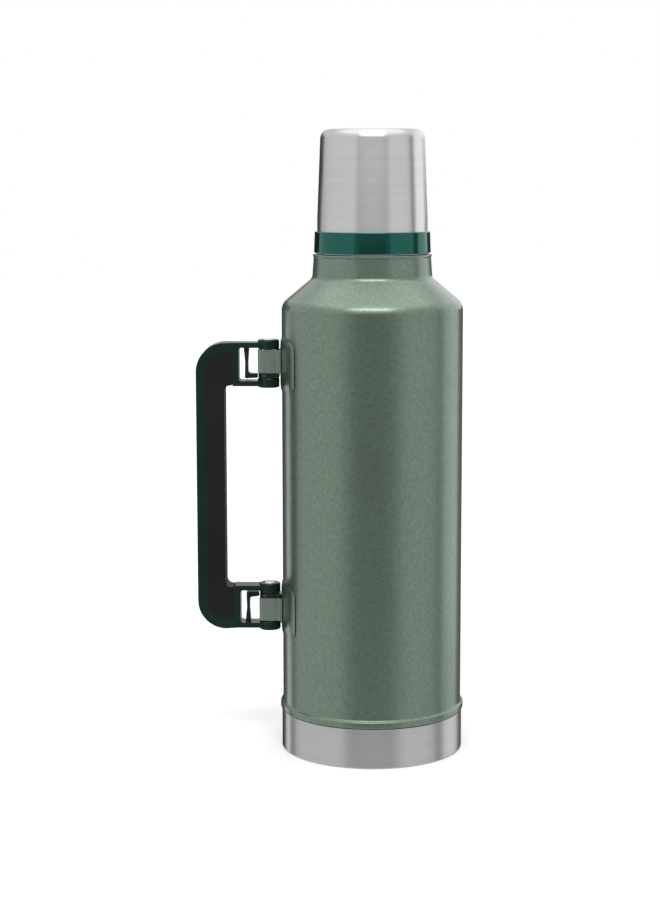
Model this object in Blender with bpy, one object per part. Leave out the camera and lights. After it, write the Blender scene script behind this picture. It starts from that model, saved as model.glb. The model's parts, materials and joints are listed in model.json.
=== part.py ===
"""Large vacuum flask with a screwed cup, a pouring stopper and a side handle that folds flat.

Lengths below are in millimetres and become metres when a mesh is made. The bottle's axis is Z,
its base stands on z = 0, and the handle is on the -X side.
"""

from math import asin, atan2, cos, degrees, pi, radians, sin, sqrt, tan

import bmesh
import bpy
from mathutils import Matrix, Vector

MM = 0.001
GAP = 0.3                   # clearance kept between neighbouring pieces
ROUND = 32                  # sides of the large turned pieces
SMALL_ROUND = 12            # sides of pins and bores

# Outer shell and base
BODY_R = 59.45
SHELL_WALL = 1.0
BASE_R = 60.2
BASE_WALL = 0.8
BASE_HEIGHT = 26.2
BEAD_R = 61.1
BEAD_LOW, BEAD_HIGH = 26.6, 31.8
SHOULDER_Z = 296.8          # where the side and the shoulder cone would meet
SHOULDER_LEAN = radians(49.9)
SHOULDER_ROUND = 8.0
NECK_R = 39.3
NECK_TOP_R = 38.35
NECK_ROUND = 4.0
LEDGE_Z = 329.0             # the cup's collar stands just above this ledge
LIP_R = 38.85

# Threaded mouth
MOUTH_Z = 350.5
MOUTH_R = 32.2              # outside of the steel mouth under the cup
CUP_PITCH = 5.0
CUP_THREAD_Z = 332.5
CUP_THREAD_TURNS = 1.75

# Inner vessel
INNER_R = 52.0
INNER_WALL = 0.9
INNER_FLOOR_Z = 22.0
INNER_SHOULDER_Z = 288.0
BORE_R = 29.7               # inside of the mouth, behind the stopper's thread
LAND_R = 27.9               # narrower ring that the stopper's gasket seals on
LAND_LOW, LAND_HIGH = 317.0, 326.0
STOPPER_PITCH = 5.0
STOPPER_THREAD_Z = 332.5    # start of the ridge inside the mouth

# Cup
CUP_TOP_Z = 409.4
CUP_R = 36.0
CUP_TOP_R = 34.0
CUP_ROUND = 6.0
CUP_WALL = 0.7
LINER_STEP = 2.2            # from the cup's outer face to the liner's outer face
COLLAR_LOW, COLLAR_HIGH = 330.0, 343.7
COLLAR_R, COLLAR_TOP_R = 38.2, 37.7
COLLAR_BORE_R = 34.2

# Handle: everything is mirrored about its middle height
HANDLE_Z = 176.05
HANDLE_HALF = 95.35         # middle to the top of the upper arm
HANDLE_OUT_X = -115.6
SPINE_X = -109.2            # where the green spine meets the black grip
GRIP_X = -97.0              # the side of the grip that the fingers close on
POST_OUT_X, POST_IN_X = -91.9, -87.5
ARM_HALF_DEPTH = 6.5
GRIP_HALF_DEPTH = 9.0
OUTER_CORNER = 19.0
TOP_BAR_LOW = 91.95         # heights above the handle's middle
GRIP_TOP = 88.75
LOWER_BAR_HIGH, LOWER_BAR_LOW = 70.05, 66.75

# Hinges, heights above the handle's middle
PIN_X = -68.2
PIN_R = 2.0
EAR_R = 7.1
EAR_HIGH = (90.9, 97.15)
EAR_LOW = (65.55, 72.15)
STRAP_LOW, STRAP_HIGH = 75.35, 90.55
STRAP_WALL = 1.2
STRAP_HALF_WIDTH = 6.8
STRAP_BACK_X = -75.0
STRAP_FOOT_HALF = 13.0
SADDLE_R = BODY_R + GAP
SADDLE_WALL = 0.8
SADDLE_HALF_ANGLE = radians(33)
SADDLE_LOW, SADDLE_HIGH = 64.45, 97.55
CAM_R = 7.0
CAM_LOW, CAM_HIGH = 72.45, 74.95
CAM_SIDES = 20
NOTCH_DEPTH, NOTCH_WIDTH = 1.2, 4.2
FOLD_ANGLE = 95             # degrees, to either side
FINGER_X = -82.6            # root of the detent finger
FINGER_TOP = 91.65

COLOURS = {
    "hammertone": ((0.115, 0.175, 0.115), 0.35, 0.35),
    "brushed_steel": ((0.56, 0.56, 0.57), 0.30, 1.0),
    "inner_steel": ((0.62, 0.62, 0.63), 0.25, 1.0),
    "bright_steel": ((0.70, 0.70, 0.71), 0.18, 1.0),
    "collar_green": ((0.010, 0.075, 0.060), 0.18, 0.0),
    "handle_green": ((0.012, 0.045, 0.036), 0.38, 0.0),
    "grip_black": ((0.016, 0.016, 0.018), 0.55, 0.0),
    "stopper_green": ((0.012, 0.060, 0.048), 0.35, 0.0),
    "foam": ((0.80, 0.78, 0.70), 0.95, 0.0),
    "silicone": ((0.72, 0.74, 0.72), 0.55, 0.0),
    "getter_alloy": ((0.22, 0.22, 0.24), 0.60, 1.0),
}


def clear_scene():
    for obj in list(bpy.data.objects):
        bpy.data.objects.remove(obj, do_unlink=True)


def make_material(name):
    colour, roughness, metallic = COLOURS[name]
    material = bpy.data.materials.new(name)
    material.use_nodes = True
    shader = material.node_tree.nodes["Principled BSDF"]
    shader.inputs["Base Color"].default_value = (*colour, 1.0)
    shader.inputs["Roughness"].default_value = roughness
    shader.inputs["Metallic"].default_value = metallic
    return material


def material_named(name):
    return bpy.data.materials.get(name) or make_material(name)


def to_object(bm, name, material, pivot=(0.0, 0.0, 0.0)):
    """Makes an object from a mesh in millimetres, with its origin at pivot."""
    bmesh.ops.recalc_face_normals(bm, faces=bm.faces)
    if bm.calc_volume(signed=True) < 0:
        bmesh.ops.reverse_faces(bm, faces=bm.faces)
    place = Vector(pivot)
    bmesh.ops.translate(bm, verts=bm.verts, vec=-place)
    bmesh.ops.scale(bm, verts=bm.verts, vec=(MM, MM, MM))
    mesh = bpy.data.meshes.new(name)
    bm.to_mesh(mesh)
    bm.free()
    mesh.shade_smooth()
    mesh.set_sharp_from_angle(angle=radians(35))
    obj = bpy.data.objects.new(name, mesh)
    obj.location = place * MM
    obj.data.materials.append(material_named(material))
    bpy.context.scene.collection.objects.link(obj)
    return obj


def to_helper(bm, name, pivot=(0.0, 0.0, 0.0)):
    """A cutter or a piece to be joined on: it isn't a part of its own."""
    helper = to_object(bm, name, "bright_steel", pivot)
    helper.hide_render = True
    helper.display_type = "WIRE"
    return helper


def combine(obj, helper, operation):
    modifier = obj.modifiers.new(f"{operation.title()} {helper.name}", "BOOLEAN")
    modifier.operation = operation
    modifier.object = helper
    modifier.solver = "EXACT"


# ---------- shared shapes ----------

def arc(centre, radius, start, end, steps):
    """Points on an arc, in degrees, both ends included."""
    return [
        (
            centre[0] + radius * cos(radians(start + (end - start) * i / steps)),
            centre[1] + radius * sin(radians(start + (end - start) * i / steps)),
        )
        for i in range(steps + 1)
    ]


def turned(profile, closed=True, sides=ROUND, axis_at=(0.0, 0.0)):
    """Turns a profile of (radius, height) points about a vertical axis."""
    bm = bmesh.new()
    x, y = axis_at
    points = [bm.verts.new((x + r, y, z)) for r, z in profile]
    edges = [bm.edges.new(pair) for pair in zip(points, points[1:])]
    if closed:
        edges.append(bm.edges.new((points[-1], points[0])))
    bmesh.ops.spin(
        bm, geom=points + edges, cent=(x, y, 0), axis=(0, 0, 1), angle=2 * pi,
        steps=sides, use_merge=True,
    )
    bmesh.ops.remove_doubles(bm, verts=bm.verts, dist=0.0005)
    return bm


def prism(outline, low, high, flat="XY"):
    """Extrudes an outline of two coordinates from low to high along the third axis."""
    bm = bmesh.new()
    if flat == "XY":
        places = [(u, v, low) for u, v in outline]
        step = (0, 0, high - low)
    else:
        places = [(u, low, v) for u, v in outline]
        step = (0, high - low, 0)
    face = bm.faces.new([bm.verts.new(p) for p in places])
    made = bmesh.ops.extrude_face_region(bm, geom=[face])["geom"]
    moved = [v for v in made if isinstance(v, bmesh.types.BMVert)]
    bmesh.ops.translate(bm, verts=moved, vec=step)
    return bm


def box(low, high):
    bm = bmesh.new()
    bmesh.ops.create_cube(bm, size=1.0)
    low, high = Vector(low), Vector(high)
    bmesh.ops.scale(bm, verts=bm.verts, vec=high - low)
    bmesh.ops.translate(bm, verts=bm.verts, vec=(low + high) / 2)
    return bm


def thread_ridge(root_r, crest_r, start_z, turns, pitch, root_width, crest_width):
    """A right-handed helical ridge whose ends sink into the wall that it stands on."""
    into_wall = 0.45 if crest_r > root_r else -0.45
    base_r = root_r - into_wall
    run_out = 4
    steps = round(turns * ROUND)
    bm = bmesh.new()
    sections = []
    for i in range(steps + 1):
        angle = 2 * pi * i / ROUND
        middle = start_z + pitch * i / ROUND
        grown = min(1.0, (i + 0.4) / run_out, (steps - i + 0.4) / run_out)
        top_r = base_r + (crest_r - base_r) * grown
        corners = (
            (base_r, -root_width / 2), (top_r, -crest_width / 2),
            (top_r, crest_width / 2), (base_r, root_width / 2),
        )
        sections.append([
            bm.verts.new((r * cos(angle), r * sin(angle), middle + dz)) for r, dz in corners
        ])
    for here, there in zip(sections, sections[1:]):
        for k in range(4):
            bm.faces.new((here[k], here[(k + 1) % 4], there[(k + 1) % 4], there[k]))
    bm.faces.new(sections[0])
    bm.faces.new(sections[-1])
    return bm


# ---------- bottle ----------

def shoulder_outline(offset=0.0):
    """The side, the rounded shoulder, the cone and the foot of the neck, moved inwards by offset."""
    lean, half = SHOULDER_LEAN, SHOULDER_LEAN / 2
    reach = SHOULDER_ROUND * tan(half)
    top_arc = arc(
        (BODY_R - SHOULDER_ROUND, SHOULDER_Z - reach), SHOULDER_ROUND - offset,
        0, degrees(lean), 3,
    )
    fall = (BODY_R - NECK_R) / tan(lean)
    foot_z = SHOULDER_Z + fall + NECK_ROUND * tan(half)
    foot_arc = arc(
        (NECK_R + NECK_ROUND, foot_z), NECK_ROUND + offset, 180 + degrees(lean), 180, 2
    )
    return top_arc + foot_arc


def make_outer_shell():
    under_cap = BASE_R - BASE_WALL - GAP
    inside = BODY_R - SHELL_WALL
    mouth_in = MOUTH_R - SHELL_WALL
    outer = [
        (under_cap, 9.0), (under_cap, BEAD_LOW), (BEAD_R - 0.5, BEAD_LOW + 0.4),
        (BEAD_R, BEAD_LOW + 1.7), (BEAD_R, BEAD_HIGH - 1.9), (BEAD_R - 0.5, BEAD_HIGH - 0.7),
        (BODY_R, BEAD_HIGH),
    ]
    outer += shoulder_outline()
    outer += [
        (NECK_TOP_R, LEDGE_Z - 1.9), (LIP_R, LEDGE_Z - 1.1), (LIP_R, LEDGE_Z - 0.5),
        (LIP_R - 0.5, LEDGE_Z), (MOUTH_R, LEDGE_Z), (MOUTH_R, MOUTH_Z - 1.3),
    ]
    inner = [
        (mouth_in, MOUTH_Z - 1.3), (mouth_in, LEDGE_Z - SHELL_WALL),
        (NECK_TOP_R - SHELL_WALL, LEDGE_Z - SHELL_WALL - 0.9),
    ]
    inner += list(reversed(shoulder_outline(SHELL_WALL)))
    inner += [(inside, 9.0)]
    shell = to_object(turned(outer + inner), "outer_shell", "hammertone")
    ridge = thread_ridge(
        MOUTH_R, MOUTH_R + 1.0, CUP_THREAD_Z, CUP_THREAD_TURNS, CUP_PITCH, 2.4, 1.0
    )
    combine(shell, to_helper(ridge, "shell_thread"), "UNION")


def make_inner_vessel():
    wall = INNER_WALL
    tube_r = BORE_R + wall
    profile = [
        (0, INNER_FLOOR_Z), (INNER_R - 14, INNER_FLOOR_Z), (INNER_R - 4, INNER_FLOOR_Z + 3),
        (INNER_R, INNER_FLOOR_Z + 12), (INNER_R, INNER_SHOULDER_Z),
        (INNER_R - 4, INNER_SHOULDER_Z + 7), (LAND_R + 1.5, LAND_LOW - 4),
        (LAND_R, LAND_LOW), (LAND_R, LAND_HIGH), (BORE_R, LAND_HIGH + 2),
        (BORE_R, MOUTH_Z - 0.5), (BORE_R + 0.5, MOUTH_Z), (MOUTH_R, MOUTH_Z),
        (MOUTH_R, MOUTH_Z - 1.0), (tube_r, MOUTH_Z - 1.0), (tube_r, LAND_HIGH + 1.6),
        (LAND_R + wall, LAND_HIGH - 0.4), (LAND_R + wall, LAND_LOW),
        (LAND_R + wall + 1.6, LAND_LOW - 4 + 0.3), (INNER_R - 3.4, INNER_SHOULDER_Z + 7.8),
        (INNER_R + wall, INNER_SHOULDER_Z), (INNER_R + wall, INNER_FLOOR_Z + 12),
        (INNER_R - 3.4, INNER_FLOOR_Z + 2.2), (INNER_R - 14, INNER_FLOOR_Z - wall),
        (0, INNER_FLOOR_Z - wall),
    ]
    vessel = to_object(turned(profile, closed=False), "inner_vessel", "inner_steel")
    ridge = thread_ridge(
        BORE_R, BORE_R - 1.2, STOPPER_THREAD_Z, 2.25, STOPPER_PITCH, 2.0, 1.0
    )
    combine(vessel, to_helper(ridge, "vessel_thread"), "UNION")


PORT_R = 1.6                # evacuation port in the vacuum base
PORT_DISH_R = 7.0
VACUUM_BASE_Z = 11.5


def make_vacuum_base():
    rim = BODY_R - SHELL_WALL - GAP
    wall = 1.0
    z = VACUUM_BASE_Z
    profile = [
        (PORT_R, z), (PORT_DISH_R - 2, z), (PORT_DISH_R, z + 2), (rim - 8, z + 2),
        (rim - 5, z), (rim, z), (rim, z - wall), (rim - 5.6, z - wall),
        (rim - 8.6, z + 1), (PORT_DISH_R + 0.6, z + 1), (PORT_DISH_R - 1.4, z - wall),
        (PORT_R, z - wall),
    ]
    to_object(turned(profile), "vacuum_base", "inner_steel")


def make_evacuation_plug():
    stem = PORT_R - GAP
    under = VACUUM_BASE_Z - 1.0 - GAP
    profile = [
        (0, VACUUM_BASE_Z - 0.2), (stem, VACUUM_BASE_Z - 0.2), (stem, under),
        (PORT_DISH_R - 2.6, under), (PORT_DISH_R - 3.4, under - 1.1), (0, under - 1.6),
    ]
    bm = turned(profile, closed=False, sides=SMALL_ROUND)
    to_object(bm, "evacuation_plug", "bright_steel")


def make_getter():
    """The getter lies in the vacuum space, clipped to the vacuum base beside the port."""
    at = (24.0, 0.0)
    low = VACUUM_BASE_Z + 2 + GAP
    profile = [(0, low + 3.2), (4.0, low + 3.2), (4.6, low + 2.4), (4.6, low), (0, low)]
    to_object(turned(profile, False, SMALL_ROUND, at), "getter", "getter_alloy", (*at, low))


def make_base_cap():
    inside = BASE_R - BASE_WALL
    outer = [
        (0, 0), (38, 0), (39.2, 1.2), (49.2, 1.2), (50.4, 0), (BASE_R - 1.0, 0),
        (BASE_R - 0.3, 0.3), (BASE_R, 1.0), (BASE_R, BASE_HEIGHT),
    ]
    inner = [(inside, BASE_HEIGHT), (inside, 3.0), (inside - 1.2, 2.2), (0, 2.2)]
    to_object(turned(outer + inner, closed=False), "base_cap", "brushed_steel")


# ---------- cup ----------

def cup_outline(offset, foot_z):
    """The side, the rounded edge and the top of the cup, moved inwards by offset."""
    lean = atan2(CUP_R - CUP_TOP_R, CUP_TOP_Z - CUP_ROUND - 352.0)
    centre_r = CUP_TOP_R - CUP_ROUND
    centre_z = CUP_TOP_Z - CUP_ROUND
    return [(CUP_R - offset, foot_z), (CUP_R - offset, 352.0)] + arc(
        (centre_r, centre_z), CUP_ROUND - offset, degrees(lean), 90, 3
    ) + [(0, CUP_TOP_Z - offset)]


def make_cup_shell():
    foot = 337.0
    profile = list(reversed(cup_outline(0, foot))) + cup_outline(CUP_WALL, foot)
    to_object(turned(profile, closed=False), "cup_shell", "brushed_steel")


def make_cup_liner():
    foot = COLLAR_HIGH + GAP
    rim_r = CUP_R - CUP_WALL - 0.4
    outer = cup_outline(LINER_STEP, foot + 0.8)
    inner = cup_outline(LINER_STEP + CUP_WALL, foot)
    profile = list(reversed(outer)) + [(rim_r, foot + 0.8), (rim_r, foot)] + inner
    to_object(turned(profile, closed=False), "cup_liner", "inner_steel")


def make_cup_collar():
    slot_in, slot_out = CUP_R - CUP_WALL - GAP, CUP_R + GAP
    profile = [
        (COLLAR_BORE_R, COLLAR_LOW), (35.0, COLLAR_LOW), (35.0, COLLAR_LOW + 1.5),
        (37.0, COLLAR_LOW + 1.5), (37.0, COLLAR_LOW), (COLLAR_R - 0.3, COLLAR_LOW),
        (COLLAR_R, COLLAR_LOW + 0.4), (COLLAR_TOP_R, COLLAR_HIGH - 0.5),
        (COLLAR_TOP_R - 0.5, COLLAR_HIGH), (slot_out, COLLAR_HIGH), (slot_out, 336.5),
        (slot_in, 336.5), (slot_in, COLLAR_HIGH), (COLLAR_BORE_R, COLLAR_HIGH),
    ]
    collar = to_object(turned(profile), "cup_collar", "collar_green")
    ridge = thread_ridge(
        COLLAR_BORE_R, COLLAR_BORE_R - 0.7, CUP_THREAD_Z + CUP_PITCH / 2 - 0.5, 1.25,
        CUP_PITCH, 2.0, 1.0,
    )
    combine(collar, to_helper(ridge, "collar_thread"), "UNION")


def make_cup_seal():
    low, high = LEDGE_Z + GAP, COLLAR_LOW + 1.5 - GAP
    profile = [(35.3, low), (36.7, low), (36.7, high), (35.3, high)]
    to_object(turned(profile), "cup_seal", "silicone")


# ---------- stopper ----------

PLUG_R = 27.4
PLUG_LOW_R = 26.9
CORE_R = 23.0
PLUG_TOP = 354.6
PLUG_BOTTOM = 318.0
GASKET_LOW, GASKET_HIGH = 320.0, 323.6
KNOB_R = 27.6
KNOB_TOP = 371.0
FLUTES = 8


def make_stopper_plug():
    inside = CORE_R + GAP
    flange_low = MOUTH_Z + 0.5
    profile = [
        (inside, PLUG_BOTTOM), (PLUG_LOW_R, PLUG_BOTTOM), (PLUG_LOW_R, GASKET_LOW),
        (25.4, GASKET_LOW), (25.4, GASKET_HIGH), (PLUG_LOW_R, GASKET_HIGH),
        (PLUG_LOW_R, 329.5), (PLUG_R, 330.5), (PLUG_R, flange_low), (30.4, flange_low),
        (30.8, flange_low + 0.5), (30.8, PLUG_TOP - 0.8), (30.0, PLUG_TOP), (inside, PLUG_TOP),
    ]
    plug = to_object(turned(profile), "stopper_plug", "stopper_green")
    start = STOPPER_THREAD_Z + STOPPER_PITCH / 2
    ridge = thread_ridge(PLUG_R, PLUG_R + 1.9, start, 2.0, STOPPER_PITCH, 2.2, 1.0)
    combine(plug, to_helper(ridge, "plug_thread"), "UNION")
    for side in (-1, 1):
        low_x, high_x = sorted((side * (PLUG_R - 0.8), side * (PLUG_R + 6)))
        cut = box((low_x, -6.0, 329.0), (high_x, 6.0, flange_low - 1.5))
        combine(plug, to_helper(cut, f"pour_channel_{side + 1}"), "DIFFERENCE")


def make_stopper_knob():
    """A fluted knob with a dished top and a spigot that enters the plug."""
    low = PLUG_TOP + GAP
    sides = FLUTES * 4
    depth = (0.0, 0.9, 1.5, 0.9)
    rings = ((KNOB_R - 0.6, low), (KNOB_R, low + 1.0), (KNOB_R - 0.9, KNOB_TOP - 1.6),
             (KNOB_R - 2.6, KNOB_TOP), (KNOB_R - 7.0, KNOB_TOP), (KNOB_R - 9.5, KNOB_TOP - 2.0))
    bm = bmesh.new()
    loops = []
    for ring_number, (radius, z) in enumerate(rings):
        fluted = ring_number < 4
        loop = []
        for i in range(sides):
            r = radius - (depth[i % 4] if fluted else 0.0)
            angle = 2 * pi * i / sides
            loop.append(bm.verts.new((r * cos(angle), r * sin(angle), z)))
        loops.append(loop)
    for here, there in zip(loops, loops[1:]):
        for i in range(sides):
            j = (i + 1) % sides
            bm.faces.new((here[i], here[j], there[j], there[i]))
    bm.faces.new(loops[-1])
    bm.faces.new(list(reversed(loops[0])))
    knob = to_object(bm, "stopper_knob", "stopper_green")
    spigot = turned(
        [(0, low + 1), (CORE_R, low + 1), (CORE_R, low - 4), (0, low - 4)], closed=False
    )
    combine(knob, to_helper(spigot, "knob_spigot"), "UNION")


def make_stopper_core():
    low, high = PLUG_BOTTOM + 2.2, PLUG_TOP + GAP - 4 - GAP
    profile = [(0, high), (CORE_R - 0.2, high), (CORE_R - 0.2, low), (0, low)]
    to_object(turned(profile, closed=False), "stopper_core", "foam")


def make_stopper_cover():
    top = PLUG_BOTTOM - GAP
    profile = [
        (0, top + 2.2), (CORE_R, top + 2.2), (CORE_R, top), (PLUG_LOW_R, top),
        (PLUG_LOW_R, top - 2.2), (PLUG_LOW_R - 2.0, top - 3.6), (0, top - 4.0),
    ]
    to_object(turned(profile, closed=False), "stopper_cover", "stopper_green")


def make_stopper_gasket():
    inside, outside = 25.4 + GAP, LAND_R - GAP
    low, high = GASKET_LOW + GAP, GASKET_HIGH - GAP
    profile = [
        (inside, low), (outside - 0.7, low), (outside, (low + high) / 2),
        (outside - 0.7, high), (inside, high),
    ]
    to_object(turned(profile), "stopper_gasket", "silicone")


# ---------- handle ----------

def half_depth(x, extra=0.0):
    """Half of the handle's depth: slim at the arms, fuller at the grip."""
    way = min(1.0, max(0.0, (POST_IN_X - x) / 12.0))
    blend = way * way * (3 - 2 * way)
    return ARM_HALF_DEPTH + (GRIP_HALF_DEPTH - ARM_HALF_DEPTH) * blend + extra


def deep_prism(outline, edge_round, extra=0.0):
    """A prism in the handle's plane whose depth follows half_depth, with rounded edges."""
    bm = prism(outline, -1.0, 1.0, flat="XZ")
    for x in (-89.5, -93.5, -101.0):
        bmesh.ops.bisect_plane(
            bm, geom=bm.verts[:] + bm.edges[:] + bm.faces[:], plane_co=(x, 0, 0),
            plane_no=(1, 0, 0), dist=0.0001,
        )
    for v in bm.verts:
        v.co.y = half_depth(v.co.x, extra) * (1 if v.co.y > 0 else -1)
    rims = [
        e for e in bm.edges
        if len(e.link_faces) == 2 and e.calc_face_angle() > radians(60)
        and e.verts[0].co.y * e.verts[1].co.y > 0
    ]
    bmesh.ops.bevel(
        bm, geom=rims, offset=edge_round, offset_type="OFFSET", segments=1, profile=0.5,
        affect="EDGES", clamp_overlap=True, material=-1,
    )
    bmesh.ops.translate(bm, verts=bm.verts, vec=(0, 0, HANDLE_Z))
    return bm


def mirror_height(points):
    """Adds the lower half of an outline given above the handle's middle, in reverse order."""
    return points + [(x, -z) for x, z in reversed(points)]


def frame_outline():
    inner_round = OUTER_CORNER - (SPINE_X - HANDLE_OUT_X)
    top = HANDLE_HALF
    inside = arc(
        (SPINE_X + inner_round, GRIP_TOP - inner_round), inner_round, 180, 90, 3
    ) + [
        (POST_OUT_X, GRIP_TOP), (POST_OUT_X, LOWER_BAR_LOW + 1.2),
        (POST_OUT_X + 1.2, LOWER_BAR_LOW), (PIN_X, LOWER_BAR_LOW), (PIN_X, LOWER_BAR_HIGH),
        (POST_IN_X + 1.0, LOWER_BAR_HIGH), (POST_IN_X, LOWER_BAR_HIGH + 1.0),
        (POST_IN_X, TOP_BAR_LOW - 1.0), (POST_IN_X + 1.0, TOP_BAR_LOW), (PIN_X, TOP_BAR_LOW),
        (PIN_X, top),
    ]
    outside = arc(
        (HANDLE_OUT_X + OUTER_CORNER, top - OUTER_CORNER), OUTER_CORNER, 90, 180, 5
    )
    return mirror_height(inside + outside)


def ear_pair(sign):
    """The two bosses of one hinge, with the recesses for the pin's ends."""
    spans = (EAR_HIGH, EAR_LOW)
    for low, high in spans:
        low, high = sorted((HANDLE_Z + sign * low, HANDLE_Z + sign * high))
        yield turned(
            [
                (0, high), (EAR_R - 0.8, high), (EAR_R, high - 0.8), (EAR_R, low + 0.8),
                (EAR_R - 0.8, low), (0, low),
            ],
            closed=False, sides=18, axis_at=(PIN_X, 0.0),
        )


HEAD_R = 3.9
TAIL_R = 3.2
RECESS = 1.2


def make_handle_frame():
    frame = to_object(
        deep_prism(frame_outline(), 0.9), "handle_frame", "handle_green", (PIN_X, 0, HANDLE_Z)
    )
    for sign, place in ((1, "upper"), (-1, "lower")):
        for number, ear in enumerate(ear_pair(sign)):
            combine(frame, to_helper(ear, f"{place}_ear_{number}"), "UNION")
    for sign, place in ((1, "upper"), (-1, "lower")):
        head_z = EAR_HIGH[1] if sign > 0 else EAR_LOW[0]
        tail_z = EAR_LOW[0] if sign > 0 else EAR_HIGH[1]
        profile = [
            (0, 1.0), (HEAD_R + 0.4, 1.0), (HEAD_R + 0.4, -RECESS), (PIN_R + 0.35, -RECESS),
        ]
        high = HANDLE_Z + sign * head_z
        low = HANDLE_Z + sign * tail_z
        cutter = [(r, high + z) for r, z in profile] + [
            (PIN_R + 0.35, low + RECESS), (TAIL_R + 0.4, low + RECESS),
            (TAIL_R + 0.4, low - 1.0), (0, low - 1.0),
        ]
        bm = turned(cutter, closed=False, sides=SMALL_ROUND, axis_at=(PIN_X, 0.0))
        combine(frame, to_helper(bm, f"{place}_pin_hole"), "DIFFERENCE")


def make_grip_insert():
    left = SPINE_X + GAP
    top = GRIP_TOP - GAP
    corner = OUTER_CORNER - (SPINE_X - HANDLE_OUT_X) - GAP
    right = POST_OUT_X - GAP
    inner = [
        (GRIP_X, 60.0), (GRIP_X + 0.4, 63.6), (GRIP_X + 1.5, 65.9), (GRIP_X + 2.6, 67.4),
        (right, 67.4), (right, top),
    ]
    outer = arc((left + corner, top - corner), corner, 90, 180, 3)
    grip = deep_prism(mirror_height(inner + outer), 1.6, extra=0.25)
    to_object(grip, "grip_insert", "grip_black", (PIN_X, 0, HANDLE_Z))


# ---------- hinges ----------

def make_saddle(sign, place):
    """A curved plate on the bottle's side, with rounded corners."""
    middle = (SADDLE_LOW + SADDLE_HIGH) / 2
    half_height = (SADDLE_HIGH - SADDLE_LOW) / 2
    corner = 6.0
    half_width = SADDLE_R * SADDLE_HALF_ANGLE
    outline = []
    for cx, cz, start in ((1, 1, 0), (-1, 1, 90), (-1, -1, 180), (1, -1, 270)):
        outline += arc(
            (cx * (half_width - corner), cz * (half_height - corner)), corner, start, start + 90, 3
        )
    bm = prism(outline, -SADDLE_WALL / 2, SADDLE_WALL / 2, flat="XZ")
    for degree in range(-27, 28, 9):
        bmesh.ops.bisect_plane(
            bm, geom=bm.verts[:] + bm.edges[:] + bm.faces[:],
            plane_co=(SADDLE_R * radians(degree), 0, 0), plane_no=(1, 0, 0), dist=0.0001,
        )
    for v in bm.verts:
        angle = v.co.x / SADDLE_R
        radius = SADDLE_R + SADDLE_WALL / 2 - v.co.y
        v.co = (-radius * cos(angle), radius * sin(angle), HANDLE_Z + sign * middle + v.co.z)
    to_object(bm, f"{place}_saddle", "hammertone")


def make_strap(sign, place):
    """A strap folded round the hinge block, with feet on the saddle."""
    foot_in = SADDLE_R + SADDLE_WALL + GAP
    foot_out = foot_in + SADDLE_WALL
    start, end = asin(8.5 / foot_out), asin(STRAP_FOOT_HALF / foot_out)
    side, wall, back = STRAP_HALF_WIDTH, STRAP_WALL, STRAP_BACK_X

    def on_bottle(radius, angle):
        return (radius * sin(angle), -radius * cos(angle))

    outer = [
        (side - 2.0, back), (side - 0.6, back + 0.6), (side, back + 2.0), (side, -63.4),
        (side + 0.5, -62.2), on_bottle(foot_out, start), on_bottle(foot_out, end),
    ]
    inner = [
        on_bottle(foot_in, end), on_bottle(foot_in, start),
        (side - wall, -sqrt(foot_in**2 - (side - wall) ** 2)),
        (side - wall, back + 2.0), (side - wall - 0.8, back + wall),
    ]
    half = outer + inner
    # The half outlines are (y, x); both halves together run once round the strap.
    outline = [(x, y) for y, x in half] + [(x, -y) for y, x in reversed(half)]
    low, high = sorted((HANDLE_Z + sign * STRAP_LOW, HANDLE_Z + sign * STRAP_HIGH))
    to_object(prism(outline, low, high), f"{place}_strap", "hammertone", (PIN_X, 0, low))


def make_hinge_block(sign, place):
    """The block inside the strap, with the pin's bore and the notched cam that the finger clicks on."""
    room = STRAP_WALL + 2 * GAP
    into_cam = 0.5
    half_width = STRAP_HALF_WIDTH - room - 0.2
    back = STRAP_BACK_X + room
    near, far = CAM_HIGH - into_cam, STRAP_HIGH - GAP
    low, high = sorted((HANDLE_Z + sign * near, HANDLE_Z + sign * far))
    bm = box((back, -half_width, low), (2 * PIN_X - back, half_width, high))
    block = to_object(bm, f"{place}_hinge_block", "grip_black", (PIN_X, 0, HANDLE_Z))
    steps = [(0, CAM_HIGH), (CAM_R, CAM_HIGH), (CAM_R, CAM_LOW), (0, CAM_LOW)]
    profile = [(r, HANDLE_Z + sign * height) for r, height in steps]
    cam = turned(profile, closed=False, sides=CAM_SIDES, axis_at=(PIN_X, 0.0))
    notches = bmesh.new()
    for turn in (-FOLD_ANGLE, 0, FOLD_ANGLE):
        made = bmesh.ops.create_cube(notches, size=1.0)["verts"]
        bmesh.ops.scale(notches, verts=made, vec=(NOTCH_DEPTH + 1.0, NOTCH_WIDTH, 4.0))
        middle_x = -CAM_R + (NOTCH_DEPTH - 1.0) / 2
        bmesh.ops.translate(notches, verts=made, vec=(middle_x, 0, 0))
        bmesh.ops.rotate(
            notches, verts=made, cent=(0, 0, 0), matrix=Matrix.Rotation(radians(turn), 3, "Z")
        )
    middle = HANDLE_Z + sign * (CAM_LOW + CAM_HIGH) / 2
    bmesh.ops.translate(notches, verts=notches.verts, vec=(PIN_X, 0, middle))
    combine(block, to_helper(cam, f"{place}_cam"), "UNION")
    combine(block, to_helper(notches, f"{place}_notches"), "DIFFERENCE")
    bore_low, bore_high = sorted((HANDLE_Z + sign * 70, HANDLE_Z + sign * 93))
    bore = turned(
        [(0, bore_high), (PIN_R + 0.35, bore_high), (PIN_R + 0.35, bore_low), (0, bore_low)],
        closed=False, sides=SMALL_ROUND, axis_at=(PIN_X, 0.0),
    )
    combine(block, to_helper(bore, f"{place}_block_bore"), "DIFFERENCE")


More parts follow.
